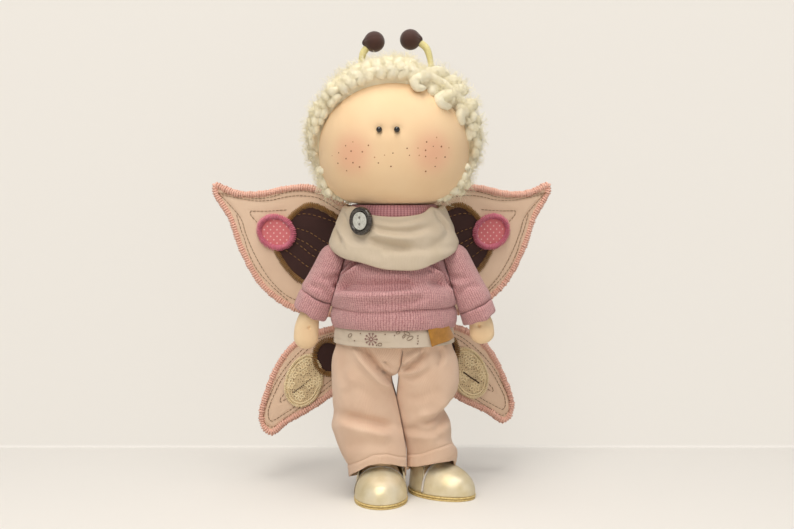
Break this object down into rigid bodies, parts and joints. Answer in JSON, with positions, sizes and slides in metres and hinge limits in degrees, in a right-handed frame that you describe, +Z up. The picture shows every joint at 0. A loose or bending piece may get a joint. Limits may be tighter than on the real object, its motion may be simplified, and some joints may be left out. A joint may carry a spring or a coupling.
{
  "type": "cloth doll",
  "caption": "Standing stuffed cloth doll dressed as a butterfly, with curly wool hair, antennae that bend, a knitted sweater, scarf, trousers, gold shoes and stitched fabric wings on hinges.",
  "frame": {"origin": "centre of the bounding box, on the floor under the soles", "axes": "+Z up, the doll faces -Y, and its own left is +X"},
  "size_m": [0.2126, 0.1082, 0.272],
  "materials": {
    "skin": "matte peach jersey, stuffed",
    "wool": "cream curled wool",
    "bead": "black bead, glossy",
    "wire": "plain wire",
    "stem": "pale yellow yarn wound on wire",
    "chocolate": "dark brown cotton",
    "knit": "mauve knit",
    "scarf": "cream jersey",
    "horn": "dark horn-coloured, polished",
    "pearl": "pearl-coloured, polished",
    "undershirt": "cream cotton with a small print",
    "suede": "mustard suede",
    "trousers": "peach jersey",
    "gold": "pale gold leather, satin",
    "sole": "yellow-gold leather, satin",
    "board": "tan board",
    "wing": "tan cotton with dark stitch lines",
    "edging": "peach satin stitch",
    "pink": "pink cotton with white dots",
    "lace": "cream lace"
  },
  "bodies": {
    "torso": {"torso": "skin", "undershirt": "undershirt", "sweater_waistband": "knit", "sweater_body": "knit", "sweater_collar": "knit", "scarf": "scarf", "scarf_button_rim": "horn", "scarf_button_pearl": "pearl", "suede_tag": "suede", "wing_strip": "wing"},
    "head": {"head": "skin", "hair_fringe": "wool", "hair_cap": "wool", "eye_right": "bead", "eye_left": "bead", "antenna_root_right": "wire", "antenna_root_left": "wire"},
    "antenna_right": {"antenna_stem_right": "stem", "antenna_ball_right": "chocolate"},
    "arm_right": {"arm_right": "skin", "sleeve_right": "knit", "cuff_right": "knit"},
    "leg_right": {"leg_right": "skin", "insole_right": "board", "shoe_outsole_right": "sole", "shoe_midsole_right": "sole", "shoe_vamp_right": "gold", "shoe_quarter_right": "gold", "trouser_right": "trousers"},
    "wing_right": {"wing_upper_edging_right": "edging", "wing_upper_panel_right": "wing", "wing_lower_edging_right": "edging", "wing_lower_panel_right": "wing", "wing_pink_patch_right": "pink", "wing_dark_patch_right": "chocolate", "wing_dark_spot_right": "chocolate", "wing_lace_patch_right": "lace"},
    "antenna_left": {"antenna_stem_left": "stem", "antenna_ball_left": "chocolate"},
    "arm_left": {"arm_left": "skin", "sleeve_left": "knit", "cuff_left": "knit"},
    "leg_left": {"leg_left": "skin", "insole_left": "board", "shoe_outsole_left": "sole", "shoe_midsole_left": "sole", "shoe_vamp_left": "gold", "shoe_quarter_left": "gold", "trouser_left": "trousers"},
    "wing_left": {"wing_upper_edging_left": "edging", "wing_upper_panel_left": "wing", "wing_lower_edging_left": "edging", "wing_lower_panel_left": "wing", "wing_pink_patch_left": "pink", "wing_dark_patch_left": "chocolate", "wing_dark_spot_left": "chocolate", "wing_lace_patch_left": "lace"}
  },
  "joints": [
    {"name": "head_turn", "type": "hinge", "parent": "torso", "child": "head", "pos_m": [0.0069, -0.01585, 0.1703], "axis": [0, 0, 1], "range_deg": [-25, 25]},
    {"name": "antenna_right_bend", "type": "hinge", "parent": "head", "child": "antenna_right", "pos_m": [-0.0117, -0.01585, 0.25042], "axis": [0, 1, 0], "range_deg": [-15, 15]},
    {"name": "arm_right_swing", "type": "hinge", "parent": "torso", "child": "arm_right", "pos_m": [-0.0225, -0.01585, 0.1377], "axis": [-0.9588, 0, 0.284], "range_deg": [-20, 60]},
    {"name": "leg_right_swing", "type": "hinge", "parent": "torso", "child": "leg_right", "pos_m": [-0.0101, -0.01384, 0.078], "axis": [-1, 0, 0], "range_deg": [0, 90], "deforming": ["trouser_right"]},
    {"name": "wing_right_flap", "type": "hinge", "parent": "torso", "child": "wing_right", "pos_m": [-0.00309, 0.01581, 0.128], "axis": [0, 0, -1], "range_deg": [0, 60]},
    {"name": "antenna_left_bend", "type": "hinge", "parent": "head", "child": "antenna_left", "pos_m": [0.0284, -0.01585, 0.24912], "axis": [0, 1, 0], "range_deg": [-15, 15]},
    {"name": "arm_left_swing", "type": "hinge", "parent": "torso", "child": "arm_left", "pos_m": [0.0363, -0.01585, 0.1377], "axis": [-0.9588, 0, -0.284], "range_deg": [-20, 60]},
    {"name": "leg_left_swing", "type": "hinge", "parent": "torso", "child": "leg_left", "pos_m": [0.0239, -0.01384, 0.078], "axis": [-1, 0, 0], "range_deg": [0, 90], "deforming": ["trouser_left"]},
    {"name": "wing_left_flap", "type": "hinge", "parent": "torso", "child": "wing_left", "pos_m": [0.00689, 0.0165, 0.128], "axis": [0, 0, 1], "range_deg": [0, 60]}
  ]
}
